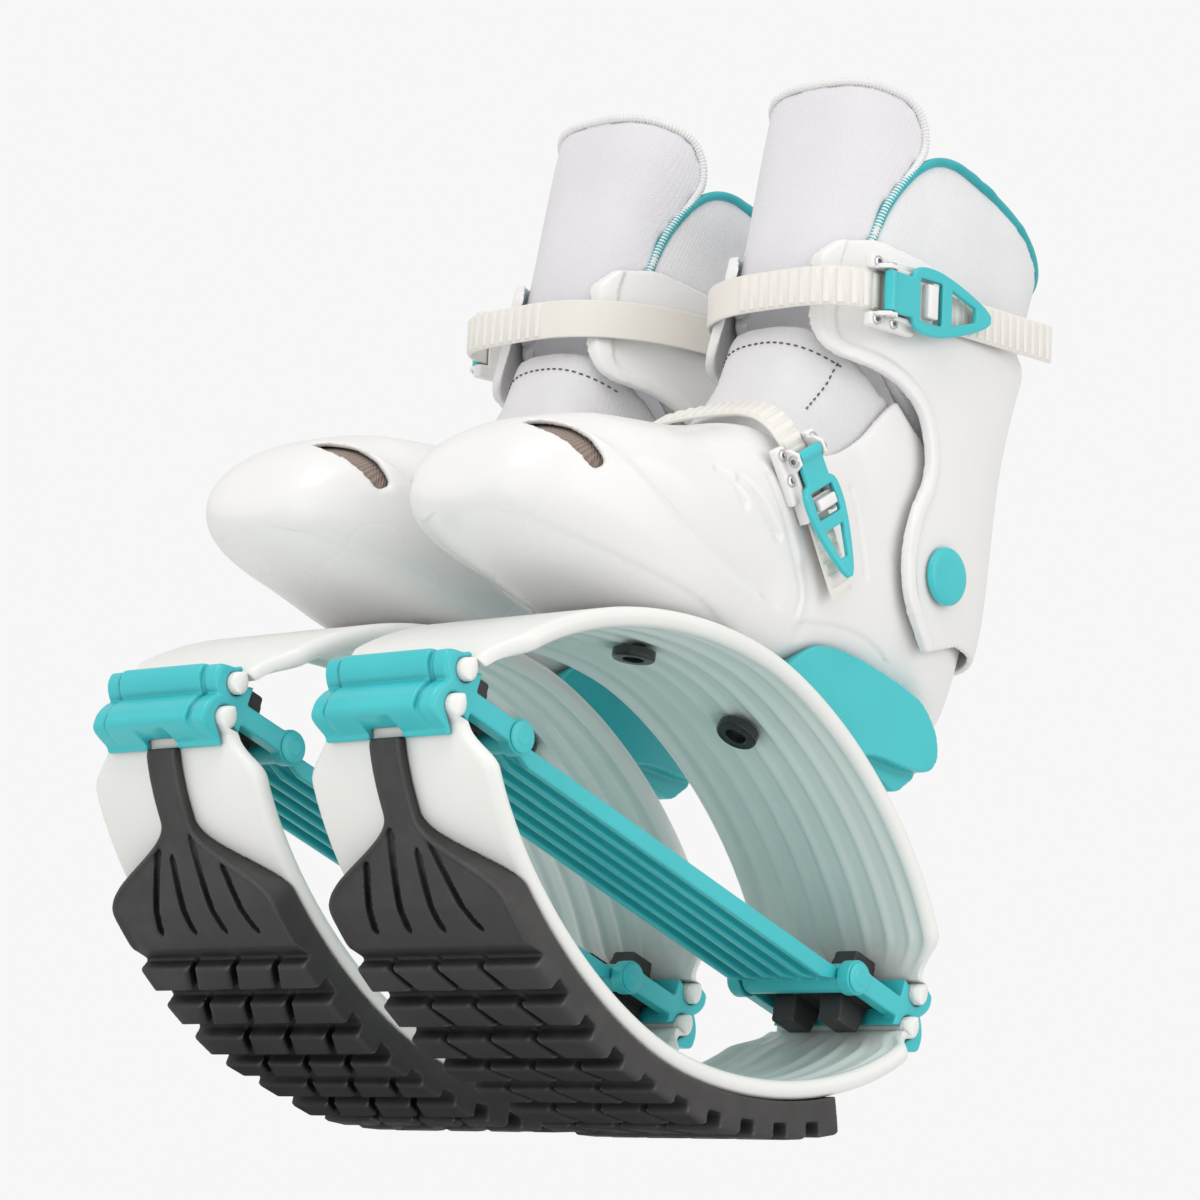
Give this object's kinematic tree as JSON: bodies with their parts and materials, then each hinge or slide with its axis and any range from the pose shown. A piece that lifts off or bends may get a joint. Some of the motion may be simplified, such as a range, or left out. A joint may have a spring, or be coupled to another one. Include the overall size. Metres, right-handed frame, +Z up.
{
  "type": "jumping shoes",
  "caption": "Jumping shoes: hard boots with padded liners and ratchet buckles, each mounted on an oval of bowed plastic springs with a treaded rubber sole.",
  "frame": {"origin": "the middle of the pair's footprint, on the ground", "axes": "+Z up from the ground, toes towards -Y, left shoe at +X, the buckles on the outer sides"},
  "size_m": [0.247, 0.3334, 0.4694],
  "materials": {
    "white_gloss": "gloss",
    "milky_plastic": "satin",
    "sea_green": "satin",
    "black_rubber": "matte",
    "black_cap": "matte",
    "cream_plastic": "satin",
    "padded_fabric": "matte",
    "steel": "satin"
  },
  "bodies": {
    "soles": {"outsole_tread_left": "black_rubber", "lower_spring_shell_left": "milky_plastic", "outsole_tread_right": "black_rubber", "lower_spring_shell_right": "milky_plastic"},
    "middle_left": {"front_clip_left": "sea_green", "rear_clip_left": "sea_green", "tension_band_left": "sea_green", "front_band_pin_left": "steel", "rear_band_pin_left": "steel", "front_bump_stop_left": "black_rubber", "rear_bump_stop_left": "black_rubber"},
    "boot_left": {"upper_spring_shell_left": "milky_plastic", "front_mount_bolt_left": "black_cap", "rear_mount_bolt_left": "black_cap", "heel_pad_left": "sea_green", "boot_shell_left": "white_gloss", "boot_liner_left": "padded_fabric", "ankle_rivet_outer_left": "sea_green", "ankle_rivet_inner_left": "sea_green", "instep_strap_left": "cream_plastic", "instep_buckle_base_left": "white_gloss", "instep_lever_pin_left": "steel"},
    "upper_leg_left": {"cuff_left": "white_gloss", "liner_collar_left": "padded_fabric", "liner_tongue_left": "padded_fabric", "top_strap_left": "cream_plastic", "top_buckle_base_left": "white_gloss", "top_lever_pin_left": "steel"},
    "instep_lever_left": {"instep_buckle_lever_left": "sea_green"},
    "instep_tab_left": {"instep_release_tab_left": "white_gloss"},
    "top_lever_left": {"top_buckle_lever_left": "sea_green"},
    "top_tab_left": {"top_release_tab_left": "white_gloss"},
    "middle_right": {"front_clip_right": "sea_green", "rear_clip_right": "sea_green", "tension_band_right": "sea_green", "front_band_pin_right": "steel", "rear_band_pin_right": "steel", "front_bump_stop_right": "black_rubber", "rear_bump_stop_right": "black_rubber"},
    "boot_right": {"upper_spring_shell_right": "milky_plastic", "front_mount_bolt_right": "black_cap", "rear_mount_bolt_right": "black_cap", "heel_pad_right": "sea_green", "boot_shell_right": "white_gloss", "boot_liner_right": "padded_fabric", "ankle_rivet_outer_right": "sea_green", "ankle_rivet_inner_right": "sea_green", "instep_strap_right": "cream_plastic", "instep_buckle_base_right": "white_gloss", "instep_lever_pin_right": "steel"},
    "upper_leg_right": {"cuff_right": "white_gloss", "liner_collar_right": "padded_fabric", "liner_tongue_right": "padded_fabric", "top_strap_right": "cream_plastic", "top_buckle_base_right": "white_gloss", "top_lever_pin_right": "steel"},
    "instep_lever_right": {"instep_buckle_lever_right": "sea_green"},
    "instep_tab_right": {"instep_release_tab_right": "white_gloss"},
    "top_lever_right": {"top_buckle_lever_right": "sea_green"},
    "top_tab_right": {"top_release_tab_right": "white_gloss"}
  },
  "joints": [
    {"name": "spring_lower_left", "type": "slide", "parent": "soles", "child": "middle_left", "axis": [0, 0, 1], "range_m": [-0.018, 0], "stiffness_N_per_m": 60000, "springref_m": 0.002, "deforming": ["lower_spring_shell_left", "outsole_tread_left"]},
    {"name": "spring_upper_left", "type": "slide", "parent": "middle_left", "child": "boot_left", "axis": [0, 0, 1], "range_m": [-0.018, 0], "stiffness_N_per_m": 60000, "springref_m": 0.002, "deforming": ["upper_spring_shell_left"]},
    {"name": "cuff_flex_left", "type": "hinge", "parent": "boot_left", "child": "upper_leg_left", "pos_m": [0.0631, 0.08425, 0.279], "axis": [1, 0, 0], "range_deg": [0, 6], "stiffness_Nm_per_rad": 40, "springref_deg": -1.72},
    {"name": "instep_lever_left", "type": "hinge", "parent": "boot_left", "child": "instep_lever_left", "pos_m": [0.11809, -0.02374, 0.27873], "axis": [0, -0.6455, -0.7638], "range_deg": [0, 100]},
    {"name": "instep_tab_left", "type": "slide", "parent": "boot_left", "child": "instep_tab_left", "axis": [-0.9977, 0.0514, -0.0435], "range_m": [0, 0.0008], "stiffness_N_per_m": 600},
    {"name": "top_lever_left", "type": "hinge", "parent": "upper_leg_left", "child": "top_lever_left", "pos_m": [0.12075, -0.00616, 0.36895], "axis": [0, 0.342, -0.9397], "range_deg": [0, 100]},
    {"name": "top_tab_left", "type": "slide", "parent": "upper_leg_left", "child": "top_tab_left", "axis": [-1, 0.0067, 0.0024], "range_m": [0, 0.0008], "stiffness_N_per_m": 600},
    {"name": "spring_lower_right", "type": "slide", "parent": "soles", "child": "middle_right", "axis": [0, 0, 1], "range_m": [-0.018, 0], "stiffness_N_per_m": 60000, "springref_m": 0.002, "deforming": ["lower_spring_shell_right", "outsole_tread_right"]},
    {"name": "spring_upper_right", "type": "slide", "parent": "middle_right", "child": "boot_right", "axis": [0, 0, 1], "range_m": [-0.018, 0], "stiffness_N_per_m": 60000, "springref_m": 0.002, "deforming": ["upper_spring_shell_right"]},
    {"name": "cuff_flex_right", "type": "hinge", "parent": "boot_right", "child": "upper_leg_right", "pos_m": [-0.0631, 0.07975, 0.279], "axis": [1, 0, 0], "range_deg": [0, 6], "stiffness_Nm_per_rad": 40, "springref_deg": -1.72},
    {"name": "instep_lever_right", "type": "hinge", "parent": "boot_right", "child": "instep_lever_right", "pos_m": [-0.11809, -0.02824, 0.27873], "axis": [0, 0.6455, 0.7638], "range_deg": [0, 100]},
    {"name": "instep_tab_right", "type": "slide", "parent": "boot_right", "child": "instep_tab_right", "axis": [0.9977, 0.0514, -0.0435], "range_m": [0, 0.0008], "stiffness_N_per_m": 600},
    {"name": "top_lever_right", "type": "hinge", "parent": "upper_leg_right", "child": "top_lever_right", "pos_m": [-0.12075, -0.01066, 0.36895], "axis": [0, -0.342, 0.9397], "range_deg": [0, 100]},
    {"name": "top_tab_right", "type": "slide", "parent": "upper_leg_right", "child": "top_tab_right", "axis": [1, 0.0067, 0.0024], "range_m": [0, 0.0008], "stiffness_N_per_m": 600}
  ],
  "couplings": [
    {"joint": "spring_upper_left", "follows": "spring_lower_left", "ratio": 1},
    {"joint": "spring_upper_right", "follows": "spring_lower_right", "ratio": 1}
  ]
}
